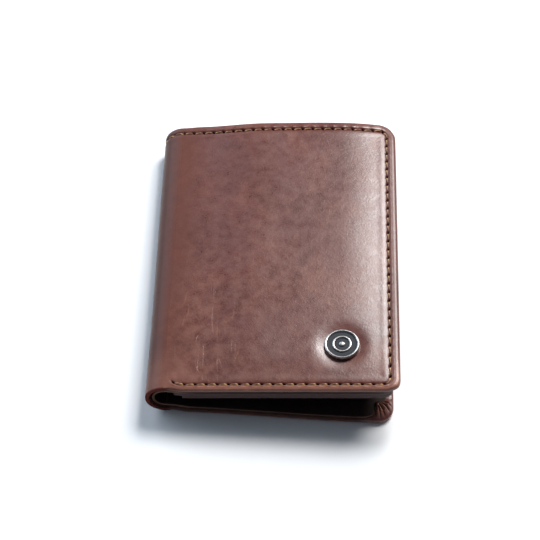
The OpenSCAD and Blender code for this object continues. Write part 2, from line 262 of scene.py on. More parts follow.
def panel(box4, radii, rings, nx, ny, nc, c, coarse=1):
    """A closed panel in (s, y, d): a grid, rings (e, el, d) over its edge, and a grid below, as fine or coarser.
    Gives vertices, faces, each vertex's inset e, its ring number and its place round the edge."""
    per = perimeter(nx, ny, nc)
    n = len(per)
    s0, s1, y0, y1 = box4
    e0, el0, d0 = rings[0]
    gx = np.linspace(s0 + el0, s1 - e0, nx + 1)
    gy = np.linspace(y0 + e0, y1 - e0, ny + 1)
    gs, gyy = np.meshgrid(gx, gy, indexing="ij")
    V = [np.c_[gs.ravel(), gyy.ravel(), np.full(gs.size, d0)]]
    E = [np.minimum.reduce([s1 - gs.ravel(), gyy.ravel() - y0, y1 - gyy.ravel()])]
    K = [np.zeros(gs.size)]
    W = [np.full(gs.size, -1)]
    gid = lambda i, j: i * (ny + 1) + j
    F = [(gid(i, j), gid(i + 1, j), gid(i + 1, j + 1), gid(i, j + 1)) for i in range(nx) for j in range(ny)]
    base = gs.size
    prev = [gid(i, j) for _, _, i, j in per]
    for k, (e, el, d) in enumerate(rings[1:], 1):
        xy = ring_xy(per, box4, radii, e, el, c)
        dd = np.full(n, float(d))
        V.append(np.c_[xy, dd])
        E.append(np.full(n, e))
        K.append(np.full(n, k))
        W.append(np.arange(n))
        cur = [base + i for i in range(n)]
        F += band(prev, cur)
        prev, base = cur, base + n
    mx, my = nx // coarse, ny // coarse
    bx = np.linspace(s0 + el0, s1 - e0, mx + 1)
    by = np.linspace(y0 + e0, y1 - e0, my + 1)
    bs, byy = np.meshgrid(bx, by, indexing="ij")
    dlast = float(rings[-1][2])
    V.append(np.c_[bs.ravel(), byy.ravel(), np.full(bs.size, dlast)])
    E.append(np.full(bs.size, e0 + 1.0))
    K.append(np.full(bs.size, len(rings)))
    W.append(np.full(bs.size, -1))
    bid = lambda i, j: base + i * (my + 1) + j
    F += [(bid(i, j), bid(i, j + 1), bid(i + 1, j + 1), bid(i + 1, j)) for i in range(mx) for j in range(my)]
    near = lambda v: int(round(v / coarse)) if coarse > 1 else v
    F += band(prev, [bid(near(i), near(j)) for _, _, i, j in per])
    return np.vstack(V), F, np.concatenate(E), np.concatenate(K), np.concatenate(W)


def plate(box4, radii, d0, d1, edge=0.2, step=3.0):
    """A thin sheet with rounded edges, lying between depths d0 and d1."""
    s0, s1, y0, y1 = box4
    c = max(max(radii) + 0.3, 1.2, edge * 2)
    c = min(c, (s1 - s0) / 2 - 0.3, (y1 - y0) / 2 - 0.3)
    h = (d1 - d0) / 2
    edge = min(edge, h)
    rings = [(c, c, d0), (edge + 0.3, edge + 0.3, d0)]
    quarter = [(edge * (1 - math.sin(a)), edge * (1 - math.cos(a))) for a in np.linspace(0, math.pi / 2, 5)]
    rings += [(e, e, d0 + h) for e, h in quarter]
    if d1 - d0 - 2 * edge <= 0.02:
        quarter.pop()
    rings += [(e, e, d1 - h) for e, h in quarter[::-1]]
    rings.append((edge + 0.3, edge + 0.3, d1))
    nx = max(2, int(round((s1 - s0) / step)))
    ny = max(2, int(round((y1 - y0) / step)))
    nc = [max(2, int(r / 0.45)) if r > 0.05 else 2 for r in radii]
    radii = [max(r, 0.06) for r in radii]
    V, F, E, K, _ = panel(box4, radii, rings, nx, ny, nc, c)
    side = np.where((K > 1) & (K < len(rings) - 1), 1.0, 0.0) * np.where(E < edge * 0.8 + 0.001, 1.0, 0.4)
    return V, F, side


def slab(outer, holes, d0, d1, edge=0.15):
    """A flat ring-shaped piece: outlines extruded from d0 to d1 with softened edges."""
    loops = [np.array(outer)] + [np.array(h) for h in holes]
    V, F, side = [], [], []
    base = 0
    top, bot = [], []
    prof = [(edge, d0), (edge * 0.3, d0 + edge * 0.3), (0, d0 + edge),
            (0, d1 - edge), (edge * 0.3, d1 - edge * 0.3), (edge, d1)]
    for loop in loops:
        n = len(loop)
        a, b = np.roll(loop, 1, 0), np.roll(loop, -1, 0)
        t1, t2 = loop - a, b - loop
        t1 /= np.linalg.norm(t1, axis=1)[:, None]
        t2 /= np.linalg.norm(t2, axis=1)[:, None]
        nrm = np.c_[-(t1 + t2)[:, 1], (t1 + t2)[:, 0]]
        nrm /= np.linalg.norm(nrm, axis=1)[:, None]
        first = base
        for e, d in prof:
            V.append(np.c_[loop + nrm * e, np.full(n, d)])
            side.append(np.full(n, 1.0 if e < edge else 0.3))
            base += n
        for k in range(len(prof) - 1):
            for i in range(n):
                j = (i + 1) % n
                p, q = first + k * n, first + (k + 1) * n
                F.append((p + i, p + j, q + j, q + i))
        top.append((first, n))
        bot.append((first + (len(prof) - 1) * n, n))
    V = np.vstack(V)
    for group in (top, bot):
        poly = [[Vector(V[f + i]) for i in range(n)] for f, n in group]
        idx = [f + i for f, n in group for i in range(n)]
        for tri in tessellate_polygon(poly):
            F.append(tuple(idx[i] for i in tri))
    return V, F, np.concatenate(side)


def rounded_loop(x0, x1, y0, y1, r, step=3.0, ccw=True):
    """A rounded rectangle's outline; r is one radius, or four from the low corner round."""
    rr = [r] * 4 if not hasattr(r, "__len__") else list(r)
    cs = [(x0, y0, 180), (x1, y0, 270), (x1, y1, 0), (x0, y1, 90)]
    pts = []
    for k, (cx, cy, a0) in enumerate(cs):
        rad = max(rr[k], 0.05)
        ox = cx + rad if cx == x0 else cx - rad
        oy = cy + rad if cy == y0 else cy - rad
        m = max(2, int(rad / 0.4))
        for i in range(m + 1):
            a = math.radians(a0 + 90 * i / m)
            pts.append((ox + rad * math.cos(a), oy + rad * math.sin(a)))
    out = []
    for i in range(len(pts)):
        p, q = np.array(pts[i]), np.array(pts[(i + 1) % len(pts)])
        gap = np.linalg.norm(q - p)
        if gap < 1e-6:
            continue
        m = max(1, int(gap / step))
        for k in range(m):
            out.append(tuple(p + (q - p) * k / m))
    return out if ccw else out[::-1]


# ---------------------------------------------------------------- thread


def holes_along(path, pitch, start=0.0, end=0.0):
    """Evenly spread hole positions along a polyline, with the direction of the seam at each."""
    path = np.asarray(path, float)
    seg = np.linalg.norm(np.diff(path, axis=0), axis=1)
    cum = np.r_[0, np.cumsum(seg)]
    total = cum[-1] - start - end
    n = max(1, int(round(total / pitch)))
    at = start + total * np.arange(n + 1) / n
    pts = np.c_[np.interp(at, cum, path[:, 0]), np.interp(at, cum, path[:, 1])]
    ahead = np.c_[np.interp(at + 0.3, cum, path[:, 0]), np.interp(at + 0.3, cum, path[:, 1])]
    behind = np.c_[np.interp(at - 0.3, cum, path[:, 0]), np.interp(at - 0.3, cum, path[:, 1])]
    tan = ahead - behind
    tan /= np.linalg.norm(tan, axis=1)[:, None]
    return pts, tan


def thread_tube(path3, radius, seed, plies=3, sides=15):
    """A twisted thread along a 3-D path, closed at both ends."""
    p = np.asarray(path3, float)
    n = len(p)
    t = np.gradient(p, axis=0)
    t /= np.linalg.norm(t, axis=1)[:, None]
    run = np.r_[0, np.cumsum(np.linalg.norm(np.diff(p, axis=0), axis=1))]
    up = np.array([0.13, 0.21, 1.0])
    V, fl = [], []
    for i in range(n):
        a = np.cross(t[i], up)
        if np.linalg.norm(a) < 0.2:
            a = np.cross(t[i], [1.0, 0.3, 0.1])
        a /= np.linalg.norm(a)
        b = np.cross(a, t[i])
        for k in range(sides):
            f = 2 * math.pi * k / sides
            lobe = abs(math.cos(plies / 2 * (f - run[i] * 2.6 + seed)))
            r = radius * (0.80 + 0.24 * lobe)
            if i in (0, n - 1):
                r *= 0.45
            V.append(p[i] + r * (math.cos(f) * a + math.sin(f) * b))
            fl.append((run[i] + seed * 7.3, f * radius, lobe))
    F = tube_faces(n, sides)
    # end marks where the thread dives into its hole, painted dark as shade by the thread material
    end = np.clip(1 - np.minimum(run, run[-1] - run) / 0.5, 0, 1)
    # a painted glint just before the thread's far end, where it dips towards the hole and faces the light
    tip = 0.85 * np.exp(-((run[-1] - run - 0.85) / 0.38) ** 2)
    return np.array(V), F, np.array(fl), {"end": np.repeat(end, sides), "tip": np.repeat(tip, sides)}


def stitches(pts, tan, to_space, out, radius=0.36, slant=0.22, lift=0.24, seed=1.0, turn=1.0, gap=0.40):
    """One bar of thread from each hole to the next. out is -1 where the face looks towards negative depth."""
    parts = []
    u = np.array([0.0, 0.07, 0.16, 0.26, 0.38, 0.5, 0.62, 0.74, 0.84, 0.93, 1.0])
    h = np.array([-0.75, -0.22, 0.10, 0.20, 0.25, 0.26, 0.25, 0.22, 0.12, -0.22, -0.75]) * lift / 0.24
    side = np.c_[-tan[:, 1], tan[:, 0]] * turn
    for i in range(len(pts) - 1):
        a = pts[i] + tan[i] * gap - side[i] * slant
        b = pts[i + 1] - tan[i + 1] * gap + side[i + 1] * slant
        w = 0.05 * math.sin(i * 2.7 + seed)
        line = a + (b - a) * u[:, None]
        # round a corner the thread follows the seam's curve
        chord = np.linalg.norm(pts[i + 1] - pts[i])
        sag = chord ** 2 / 8 * np.linalg.norm(tan[i + 1] - tan[i]) / max(chord, 0.1)
        bend = tan[i][0] * tan[i + 1][1] - tan[i][1] * tan[i + 1][0]
        way = np.sign(bend) if abs(bend) > 1e-6 else 1
        line = line - ((side[i] + side[i + 1]) / 2) * turn * sag * (4 * u * (1 - u))[:, None] * way
        co = to_space(line[:, 0], line[:, 1], (h + w * np.sin(math.pi * u)) * out)
        parts.append(thread_tube(co, radius, seed + i * 1.7))
    return parts


# ---------------------------------------------------------------- materials


class Graph:
    def __init__(self, name):
        self.mat = bpy.data.materials.new(name)
        self.mat.use_nodes = True
        self.nt = self.mat.node_tree
        self.nt.nodes.clear()
        self.out = self.nt.nodes.new("ShaderNodeOutputMaterial")
        self.bsdf = self.nt.nodes.new("ShaderNodeBsdfPrincipled")
        self.nt.links.new(self.bsdf.outputs[0], self.out.inputs["Surface"])

    def put(self, socket, value):
        if isinstance(value, bpy.types.NodeSocket):
            self.nt.links.new(value, socket)
        elif value is not None:
            socket.default_value = value

    def node(self, kind, **props):
        n = self.nt.nodes.new("ShaderNode" + kind)
        for k, v in props.items():
            setattr(n, k, v)
        return n

    def attr(self, name, out="Fac"):
        n = self.node("Attribute", attribute_name=name)
        return n.outputs[out]

    def scale(self, vec, s, shift=(0, 0, 0)):
        n = self.node("Mapping")
        self.put(n.inputs["Vector"], vec)
        n.inputs["Scale"].default_value = s if hasattr(s, "__len__") else (s, s, s)
        n.inputs["Location"].default_value = shift
        return n.outputs[0]

    def noise(self, vec, s, detail=4.0, rough=0.55, distortion=0.0):
        n = self.node("TexNoise")
        self.put(n.inputs["Vector"], vec)
        n.inputs["Scale"].default_value = s
        n.inputs["Detail"].default_value = detail
        n.inputs["Roughness"].default_value = rough
        n.inputs["Distortion"].default_value = distortion
        return n.outputs["Fac"]

    def cells(self, vec, s, feature="F1", randomness=1.0):
        n = self.node("TexVoronoi", feature=feature)
        self.put(n.inputs["Vector"], vec)
        n.inputs["Scale"].default_value = s
        n.inputs["Randomness"].default_value = randomness
        return n.outputs["Distance"]

    def math(self, op, a, b=None, c=None, clamp=False):
        n = self.node("Math", operation=op, use_clamp=clamp)
        for i, v in enumerate((a, b, c)):
            if v is not None:
                self.put(n.inputs[i], v)
        return n.outputs[0]

    def times(self, a, b):
        return self.math("MULTIPLY", a, b)

    def plus(self, a, b):
        return self.math("ADD", a, b)

    def span(self, v, a, b, lo=0.0, hi=1.0, soft=True):
        n = self.node("MapRange", interpolation_type="SMOOTHSTEP" if soft else "LINEAR", clamp=True)
        self.put(n.inputs["Value"], v)
        n.inputs["From Min"].default_value = a
        n.inputs["From Max"].default_value = b
        n.inputs["To Min"].default_value = lo
        n.inputs["To Max"].default_value = hi
        return n.outputs["Result"]

    def ramp(self, v, stops):
        n = self.node("ValToRGB")
        self.put(n.inputs[0], v)
        e = n.color_ramp.elements
        while len(e) < len(stops):
            e.new(0.5)
        for k, (p, c) in enumerate(stops):
            e[k].position = p
            e[k].color = (*c, 1)
        return n.outputs[0]

    def mix(self, f, a, b, blend="MIX"):
        n = self.node("Mix", data_type="RGBA", blend_type=blend)
        self.put(n.inputs[0], f)
        for sock, v in ((n.inputs[6], a), (n.inputs[7], b)):
            self.put(sock, v if isinstance(v, bpy.types.NodeSocket) else (*v, 1))
        return n.outputs[2]

    def bump(self, height, strength, distance, normal=None):
        n = self.node("Bump")
        n.inputs["Strength"].default_value = strength
        n.inputs["Distance"].default_value = distance
        self.put(n.inputs["Height"], height)
        if normal is not None:
            self.put(n.inputs["Normal"], normal)
        return n.outputs[0]

    def finish(self, **sockets):
        for k, v in sockets.items():
            self.put(self.bsdf.inputs[k.replace("_", " ")], v)
        return self.mat


def crease_lines(g, co):
    """Long fine creases along the wallet, broken here and there."""
    lines = None
    for sx, sy, shift, width in (
        (0.17, 0.016, (2.2, 0.4, 0.0), 0.0095),
        (0.23, 0.024, (9.4, 5.1, 0.0), 0.0110),
        (0.12, 0.030, (4.4, 1.9, 0.0), 0.0075),
    ):
        n = g.noise(g.scale(co, (sx, sy, 0.0), shift), 1.0, 2.0, 0.42, 0.25)
        r = g.span(g.math("ABSOLUTE", g.math("SUBTRACT", n, 0.5)), 0.0, width, 1.0, 0.0)
        lines = r if lines is None else g.math("MAXIMUM", lines, r)
    broken = g.span(g.noise(g.scale(co, (0.30, 0.10, 0.0), (4.0, 2.0, 0.0)), 1.0, 3.0, 0.6), 0.46, 0.66)
    return g.times(lines, broken)


def leather(name, dark, mid, light, haze, raw, rough, coat=0.0, shine=0.5, grain=1.0, creases=False, rim=None):
    """Leather that reads the mesh's masks: edge (rubbed, and partly a painted highlight), dark (painted shade),
    cut (raw edge), and where it has creases also wear (handled) and matt (dull)."""
    worn, dull, shaded = (0.205, 0.082, 0.053), (0.120, 0.053, 0.044), (0.006, 0.004, 0.003)
    g = Graph(name)
    co = g.attr("flat", "Vector")
    big = g.noise(g.scale(co, (0.05, 0.035, 0.05)), 1.0, 3.0, 0.5, 0.6)
    mid_n = g.noise(co, 0.24, 5.0, 0.6)
    small = g.noise(co, 1.9, 4.0, 0.65)
    v = g.plus(g.times(big, 0.40), g.times(mid_n, 0.32))
    v = g.plus(v, g.times(small, 0.28))
    col = g.ramp(v, [(0.37, dark), (0.50, mid), (0.63, light)])
    cloud = g.noise(g.scale(co, (0.06, 0.05, 0.06), (7.1, 3.3, 0.0)), 1.0, 4.0, 0.6, 0.4)
    col = g.mix(g.span(cloud, 0.38, 0.66, 0.0, 0.5), col, haze)
    speck = g.span(g.noise(co, 2.7, 2.0, 0.7), 0.30, 0.70, 0.0, 1.0)
    col = g.mix(1.0, col, g.mix(speck, (0.66, 0.66, 0.66), (1.0, 1.0, 1.0)), "MULTIPLY")
    # scuffs: short pale marks here and there
    marks = g.noise(g.scale(co, (0.9, 0.35, 0.9), (3.0, 9.0, 0.0)), 1.0, 5.0, 0.75, 1.2)
    where = g.noise(g.scale(co, 0.06, (1.7, 5.2, 0.0)), 1.0, 2.0)
    scuff = g.times(g.span(marks, 0.65, 0.74), g.span(where, 0.47, 0.60))
    col = g.mix(g.times(scuff, 0.7), col, raw)
    fine = g.cells(g.scale(co, (1.0, 1.0, 1.0)), 2.1, "F1")
    grains = g.plus(g.times(fine, 0.55), g.times(g.noise(co, 3.4, 3.0, 0.6), 0.6))
    uneven = g.times(g.noise(co, 0.55, 4.0, 0.6), 0.8)
    height = g.plus(g.times(grains, 0.35 * grain), uneven)
    if creases:
        wear = g.attr("wear")
        line = g.times(crease_lines(g, co), wear)
        col = g.mix(g.times(wear, g.span(mid_n, 0.35, 0.65, 0.06, 0.55)), col, worn)
        col = g.mix(g.times(line, 0.55), col, raw)
        height = g.math("SUBTRACT", height, g.times(line, 0.35))
    # edge: the rim colour on rubbed edges and cut sides, and also a painted highlight on the near roll, the
    # seam's swell and the pleat ridges
    col = g.mix(g.times(g.attr("edge"), g.span(mid_n, 0.3, 0.7, 0.65, 1.0)), col, rim or raw)
    if creases:
        col = g.mix(g.times(g.attr("matt"), 0.75), col, dull)
    # painted shade: the dark mask turns needle holes, the rolled edges' undersides, the pleat hollows and the
    # spine's far side towards near black
    col = g.mix(g.attr("dark"), col, shaded)
    fibres = g.span(g.noise(g.scale(co, (1.2, 1.2, 3.0)), 1.0, 4.0), 0.3, 0.7)
    col = g.mix(g.attr("cut"), col, g.mix(fibres, dark, haze))
    polish = g.plus(g.times(mid_n, 0.6), g.times(small, 0.4))
    g.finish(Base_Color=col, Roughness=g.span(polish, 0.35, 0.65, rough[0], rough[1]),
             Normal=g.bump(height, 0.60, 0.00012))
    # shaded folds, cut edges and dull places do not shine
    covered = g.math("MAXIMUM", g.math("MAXIMUM", g.attr("dark"), g.attr("cut")), g.attr("matt"))
    gloss = g.math("SUBTRACT", 1.0, covered, clamp=True)
    g.put(g.bsdf.inputs["Specular IOR Level"], g.times(gloss, shine))
    g.put(g.bsdf.inputs["Coat Weight"], g.times(gloss, coat) if coat else 0.0)
    g.bsdf.inputs["Coat Roughness"].default_value = 0.26
    return g.mat


def thread_material():
    g = Graph("waxed_thread")
    co = g.attr("flat", "Vector")
    v = g.noise(g.scale(co, (0.9, 2.0, 1.0)), 1.0, 3.0)
    col = g.ramp(v, [(0.3, (0.125, 0.055, 0.023)), (0.5, (0.22, 0.106, 0.046)), (0.70, (0.37, 0.198, 0.086))])
    # painted glint near the thread's far end
    col = g.mix(g.attr("tip"), col, (0.80, 0.50, 0.20))
    # painted shade in the grooves between the plies
    lobe = g.node("SeparateXYZ")
    g.put(lobe.inputs[0], co)
    col = g.mix(g.span(lobe.outputs[2], 0.0, 0.75, 0.55, 0.0), col, (0.09, 0.032, 0.010))
    # painted shade at the ends, where the thread dives into its hole
    col = g.mix(g.times(g.attr("end"), 0.72), col, (0.045, 0.016, 0.006))
    fibre = g.noise(g.scale(co, (6.0, 22.0, 1.0)), 1.0, 3.0, 0.7)
    g.finish(Base_Color=col, Roughness=g.span(v, 0.3, 0.7, 0.42, 0.6), Normal=g.bump(fibre, 0.35, 0.00006))
    g.bsdf.inputs["Sheen Weight"].default_value = 0.15
    return g.mat


def metal_material(name, a, b, rough):
    g = Graph(name)
    co = g.attr("flat", "Vector")
    n = g.noise(co, 0.9, 4.0, 0.6)
    scratch = g.noise(g.scale(co, (9.0, 1.2, 4.0)), 1.0, 3.0, 0.7)
    low = g.span(g.plus(n, g.times(scratch, 0.35)), 0.42, 0.9)
    g.finish(Base_Color=g.mix(low, a, b), Roughness=g.span(scratch, 0.3, 0.75, rough, rough + 0.16),
             Normal=g.bump(scratch, 0.12, 0.00004))
    g.bsdf.inputs["Metallic"].default_value = 1.0
    return g.mat


def enamel_material():
    g = Graph("dark_enamel")
    co = g.attr("flat", "Vector")
    n = g.noise(co, 1.4, 4.0)
    g.finish(Base_Color=g.ramp(n, [(0.3, (0.010, 0.013, 0.018)), (0.7, (0.024, 0.028, 0.036))]),
             Roughness=g.span(n, 0.3, 0.7, 0.42, 0.56), Normal=g.bump(g.noise(co, 3.0, 3.0), 0.15, 0.00005))
    g.bsdf.inputs["Specular IOR Level"].default_value = 0.2
    return g.mat


def cloth_material():
    g = Graph("twill_lining")
    co = g.attr("flat", "Vector")
    xyz = g.node("SeparateXYZ")
    g.put(xyz.inputs[0], co)
    a = g.math("SINE", g.times(g.plus(xyz.outputs[0], xyz.outputs[1]), 9.0))
    across = g.math("SUBTRACT", xyz.outputs[0], g.times(xyz.outputs[1], 0.4))
    b = g.math("SINE", g.times(across, 15.0))
    weave = g.plus(g.times(a, 0.5), g.times(b, 0.35))
    n = g.noise(co, 0.4, 4.0)
    v = g.plus(g.times(weave, 0.22), n)
    g.finish(Base_Color=g.ramp(v, [(0.2, (0.022, 0.018, 0.016)), (0.8, (0.060, 0.050, 0.045))]),
             Roughness=g.span(n, 0.3, 0.7, 0.72, 0.88), Normal=g.bump(weave, 0.45, 0.00006))
    return g.mat


def card_material():
    g = Graph("fibre_board")
    co = g.attr("flat", "Vector")
    n = g.noise(g.scale(co, (0.7, 2.2, 1.0)), 1.0, 5.0, 0.7)
    g.finish(Base_Color=g.ramp(n, [(0.3, (0.40, 0.30, 0.19)), (0.7, (0.60, 0.49, 0.35))]),
             Roughness=g.span(n, 0.3, 0.7, 0.7, 0.9), Normal=g.bump(n, 0.3, 0.00005))
    return g.mat


def film_material():
    g = Graph("clear_film")
    co = g.node("TexCoord").outputs["Object"]
    n = g.noise(co, 60.0, 3.0)
    g.finish(Base_Color=g.mix(g.span(n, 0.3, 0.7), (0.86, 0.89, 0.92), (0.93, 0.95, 0.96)),
             Roughness=g.span(n, 0.3, 0.7, 0.08, 0.18))
    g.bsdf.inputs["Alpha"].default_value = 0.28
    return g.mat


# through the edge mask, the outer leather's rim colour paints both rubbed edges and painted highlights
OUTER = leather("pull_up_leather", (0.086, 0.022, 0.015), (0.136, 0.037, 0.026), (0.188, 0.058, 0.037),
                (0.122, 0.040, 0.038), (0.36, 0.130, 0.065), rough=(0.27, 0.37), coat=0.10, creases=True,
                rim=(0.35, 0.150, 0.105))
# pocket and inner leather: near black, partly their own dark tone and partly painted shade for the gap between
# the covers
POCKET = leather("pocket_leather", (0.017, 0.009, 0.007), (0.028, 0.015, 0.012), (0.046, 0.026, 0.019),
                 (0.032, 0.019, 0.017), (0.092, 0.052, 0.052), rough=(0.48, 0.62), shine=0.25, grain=2.2)
INNER = leather("inner_leather", (0.016, 0.008, 0.006), (0.027, 0.014, 0.010), (0.044, 0.024, 0.017),
                (0.030, 0.019, 0.016), (0.145, 0.082, 0.056), rough=(0.55, 0.70), shine=0.25)
THREAD = thread_material()
STEEL = metal_material("bright_badge_metal", (0.50, 0.49, 0.48), (0.23, 0.22, 0.22), 0.26)
ENAMEL = enamel_material()
CLOTH = cloth_material()
BOARD = card_material()
FILM = film_material()

# ---------------------------------------------------------------- the outer cover, in three parts
RADIUS, FAR_R = 5.5, 6.2    # radii of the near and the far free corner
COLLAPSE = 9.0              # how far in from the edge its rings reach
ROLL = 1.25                 # how far in the folded edge's half-round roll reaches
HOLE = 0.55                 # depth of a needle hole
# Insets of the rings over the flat rim, closest where the seam's groove is
INSETS = (9, 8.3, 7.6, 6.9, 6.3, 5.7, 5.2, 4.8, 4.4, 4.1, 3.85, 3.65, 3.5, 3.35, 3.2, 3.0,
          2.8, 2.6, 2.4, 2.25, 2.1, 1.95, 1.75, 1.5)


def roll_profile():
    """(inset, depth) round the folded edge, from the outer face to the turned-over one."""
    out = []
    for a in [math.pi * k / 12 for k in range(13)]:
        c = math.cos(a)
        out.append((ROLL * (1 - math.sin(a) ** 0.95), TURN / 2 * (1 - math.copysign(abs(c) ** 0.95, c))))
    return out


def shell_rings():
    hem = [(e, TURN) for e in (1.9, 2.6, 3.2, 3.7, 4.0, 4.3, 4.8, 5.4, 6.0)]
    hem += [(6.35, TURN - 0.03), (6.5, TURN - 0.16), (6.55, SHELL + 0.12), (6.7, SHELL), (8.2, SHELL)]
    rings = [(e, 1.2 * (e - ROLL) / (COLLAPSE - ROLL), 0.0) for e in INSETS]
    rings += [(e, 0.0, d) for e, d in roll_profile()]
    return rings + [(e, 0.1 * (e - ROLL), d) for e, d in hem]


def seam_depth(t):
    """The groove that a seam pulls into the leather, and the swell on each side; t is the distance inwards."""
    groove = 0.30 * np.exp(-(t / 0.48) ** 2)
    return groove - 0.12 * np.exp(-((t + 1.25) / 0.7) ** 2) - 0.08 * np.exp(-((t - 1.9) / 1.1) ** 2)


def seam_offset(s, y, path, want):
    """Each wanted point's signed distance to the seam, positive on its inner side, and far away for the rest."""
    path = np.asarray(path, float)
    seg = np.linalg.norm(np.diff(path, axis=0), axis=1)
    cum = np.r_[0, np.cumsum(seg)]
    at = np.linspace(0, cum[-1], int(cum[-1] / 0.3))
    p = np.c_[np.interp(at, cum, path[:, 0]), np.interp(at, cum, path[:, 1])]
    tan = np.gradient(p, axis=0)
    tan /= np.linalg.norm(tan, axis=1)[:, None]
    out = np.full(len(s), 50.0)
    ix = np.where(want)[0]
    batch = 4000
    for c in range(0, len(ix), batch):
        i = ix[c:c + batch]
        dx, dy = s[i][:, None] - p[None, :, 0], y[i][:, None] - p[None, :, 1]
        k = (dx ** 2 + dy ** 2).argmin(1)
        r = np.arange(len(i))
        side = tan[k, 0] * dy[r, k] - tan[k, 1] * dx[r, k]
        out[i] = np.hypot(dx[r, k], dy[r, k]) * np.sign(side + 1e-9)
    return out


def pits(s, y, pts, tan, want):
    """Needle holes: a slanted pit at each, painted shade inside it, and puckered leather on its outer side."""
    depth, dark = np.zeros(len(s)), np.zeros(len(s))
    side = np.c_[-tan[:, 1], tan[:, 0]]
    ix = np.where(want)[0]
    for k in range(len(pts)):
        dx, dy = s[ix] - pts[k][0], y[ix] - pts[k][1]
        near = np.abs(dx) + np.abs(dy) < 3.5
        if not near.any():
            continue
        sel = ix[near]
        a = dx[near] * tan[k][0] + dy[near] * tan[k][1]
        b = dx[near] * side[k][0] + dy[near] * side[k][1]
        m, n = a * 0.84 - b * 0.54, a * 0.54 + b * 0.84
        hole = np.exp(-((m / 0.66) ** 2 + (n / 0.35) ** 2) ** 1.4)
        depth[sel] += HOLE * hole - 0.12 * np.exp(-((a / 0.8) ** 2 + ((b + 1.0) / 0.5) ** 2))
        # painted shade inside each hole
        dark[sel] = np.maximum(dark[sel], np.clip(1.7 * hole - 0.08, 0, 1))
    return depth, dark


def badge_dimple(s, y):
    """The badge sits flat on the crowned front, in a shallow dimple."""
    r = np.hypot(s - BADGE_S, y - BADGE_Y)
    flattened = 0.5 * front_lift(s, y) * np.exp(-(np.maximum(r - 5.5, 0) / 3.2) ** 2)
    return flattened + 0.16 * np.exp(-((r - 5.2) / 2.0) ** 2)


def pleats(s, y, d, E, K, length):
    """The back's turned leather is gathered round its near free corner.
    Gives how much higher it stands, where it is gathered, and its ridges."""
    cx, cy = length - RADIUS - 0.6, -HALF + RADIUS + 0.6
    ang = np.arctan2(y - cy, s - cx)
    fan = smooth((-ang + 0.40) / 0.35) * smooth((ang + math.pi / 2 + 0.25) / 0.30)
    inner = np.clip((d - TURN * 0.45) / (TURN * 0.55), 0, 1) * (E > 0.2) * (E < 6.6) * (K > 24)
    ridge = np.abs(np.cos(8.6 * (ang + 0.30) + 0.5 * np.sin(E * 1.1 + 0.6) + 0.45 * np.sin(5 * ang)))
    minor = np.abs(np.cos(11.0 * (ang + 0.1) - 0.4 * E))
    lump = fan * inner * (smooth((E - 0.3) / 1.8) * (1 - smooth((E - 5.6) / 1.0)))
    tall = 0.75 + 0.25 * np.sin(3.1 * ang + 1.0 + 0.8 * E)
    return lump * (0.9 + 1.5 * ridge ** 0.8 * tall + 0.2 * minor), lump, ridge


def rubbed_edge_and_highlight(s, y, d, e, left):
    """The rolled edge is paler towards the near end, partly rubbed and partly a painted highlight where it faces
    up, and so is the near end beside the spine.
    """
    rim = 1 - smooth((y + HALF - 3) / 14)
    edge = (0.06 + 0.94 * rim) * np.exp(-((e - 0.6) / 1.3) ** 2) * np.clip(1.15 - d / (TURN * 0.7), 0, 1)
    # painted highlight on the swell between the seam and the roll
    edge = edge + 0.35 * rim * np.exp(-((e - 2.2) / 0.8) ** 2) * (d < 0.1)
    edge = np.clip(edge * smooth((s - 0.2) / 2.0) * (~left | (e < 5)), 0, 1)
    return np.maximum(edge, 0.5 * smooth((-y - 40) / 14) * (1 - smooth((s - 1) / 9)) * (d < 0.3))


def handled(s, y):
    """Where the cover is worn: most at its near end beside the spine."""
    wear = 0.25 + 0.75 * (1 - smooth((s - 8) / 26)) * (1 - smooth((y + 30) / 22))
    wear = wear * (1 - 0.75 * smooth((y + 10) / 40)) * (1 - 0.6 * smooth((s - 30) / 20))
    return np.maximum(0.75 * wear, smooth((-y - 40) / 14) * (1 - smooth((s - 3) / 12)))


